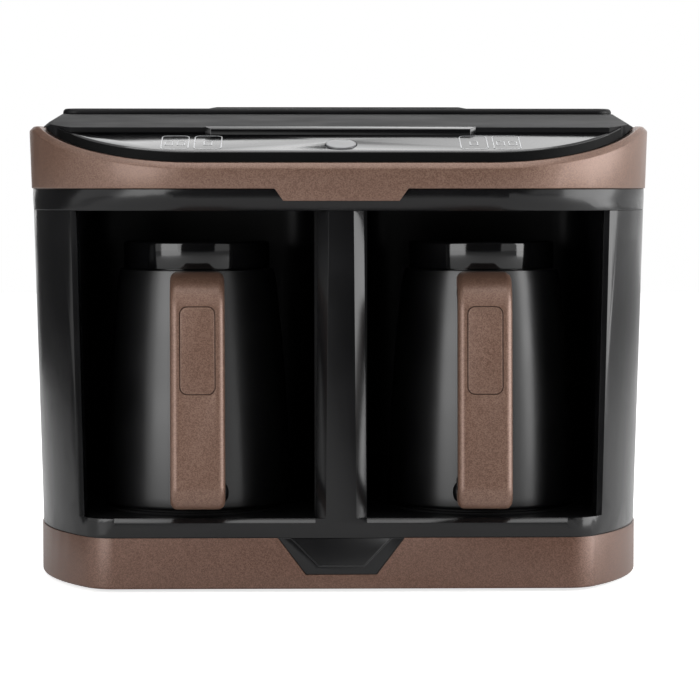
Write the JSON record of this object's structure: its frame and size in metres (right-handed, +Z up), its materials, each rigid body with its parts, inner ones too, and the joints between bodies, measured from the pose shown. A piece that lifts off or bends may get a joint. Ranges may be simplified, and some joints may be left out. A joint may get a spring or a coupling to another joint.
{
  "type": "electric turkish coffee maker",
  "caption": "Twin-bay electric coffee maker: two lidded pots with looped handles slide onto heating plates under a sloped control head, in a dark body with bronze trim.",
  "frame": {"origin": "centre of the bounding box on the surface that it stands on", "axes": "+Z up, -Y towards the user, +X along the front to the right as the user sees it"},
  "size_m": [0.2764, 0.2119, 0.2099],
  "materials": {
    "bronze_paint": "satin metallic paint over moulded plastic, fine sparkle",
    "gloss_black": "glossy moulded plastic",
    "satin_black": "fine satin moulded plastic",
    "grey_plastic": "satin moulded plastic",
    "panel_black": "mirror-smooth moulded plastic",
    "pot_enamel": "gloss black coating on drawn steel",
    "steel": "turned and brushed",
    "zinc_screw": "zinc plated",
    "spring_steel": "drawn wire",
    "aluminium": "die cast, machined face",
    "silicone": "moulded silicone",
    "black_rubber": "moulded rubber",
    "clear_button": "smoky translucent plastic",
    "circuit_board": "solder-mask varnish on glass laminate",
    "core_iron": "stacked and varnished",
    "relay_plastic": "moulded plastic",
    "can_aluminium": "drawn can in a sleeve"
  },
  "bodies": {
    "body": {"base_shell": "bronze_paint", "notch_plate": "gloss_black", "bottom_cover": "satin_black", "bottom_screws": "zinc_screw", "rubber_feet": "black_rubber", "front_frame": "gloss_black", "rear_cover": "satin_black", "rear_screws": "zinc_screw", "cord_inlet": "black_rubber", "floor_tray": "satin_black", "left_bay_liner": "satin_black", "right_bay_liner": "satin_black", "left_heating_plate": "aluminium", "right_heating_plate": "aluminium", "left_plate_seal": "silicone", "right_plate_seal": "silicone", "left_heating_element": "steel", "right_heating_element": "steel", "left_thermostat": "steel", "right_thermostat": "steel", "left_foam_sensor": "satin_black", "right_foam_sensor": "satin_black", "thermal_fuses": "steel", "head_tray": "gloss_black", "top_band": "bronze_paint", "control_panel": "panel_black", "top_cover": "grey_plastic", "rear_deck": "satin_black", "cover_strip": "satin_black", "button_guide": "satin_black", "button_spring": "spring_steel", "touch_board": "circuit_board", "button_switch": "satin_black", "board_posts": "satin_black", "power_board": "circuit_board", "transformer": "core_iron", "relays": "relay_plastic", "capacitors": "can_aluminium"},
    "button": {"start_button": "clear_button"},
    "left_pot": {"left_pot_body": "pot_enamel", "left_pot_disc": "steel", "left_handle_shell": "bronze_paint", "left_handle_core": "satin_black", "left_handle_inset": "bronze_paint", "left_handle_pin": "gloss_black"},
    "left_lid": {"left_lid": "gloss_black", "left_lid_seal": "silicone"},
    "right_pot": {"right_pot_body": "pot_enamel", "right_pot_disc": "steel", "right_handle_shell": "bronze_paint", "right_handle_core": "satin_black", "right_handle_inset": "bronze_paint", "right_handle_pin": "gloss_black"},
    "right_lid": {"right_lid": "gloss_black", "right_lid_seal": "silicone"}
  },
  "joints": [
    {"name": "left_pot_slide", "type": "slide", "parent": "body", "child": "left_pot", "axis": [0, -1, 0], "range_m": [0, 0.125]},
    {"name": "right_pot_slide", "type": "slide", "parent": "body", "child": "right_pot", "axis": [0, -1, 0], "range_m": [0, 0.125]},
    {"name": "left_lid_lift", "type": "slide", "parent": "left_pot", "child": "left_lid", "axis": [0, 0, 1], "range_m": [0, 0.012]},
    {"name": "right_lid_lift", "type": "slide", "parent": "right_pot", "child": "right_lid", "axis": [0, 0, 1], "range_m": [0, 0.012]},
    {"name": "button_press", "type": "slide", "parent": "body", "child": "button", "axis": [0, 0.309, -0.9511], "range_m": [0, 0.0012], "stiffness_N_per_m": 800, "springref_m": -0.001}
  ]
}
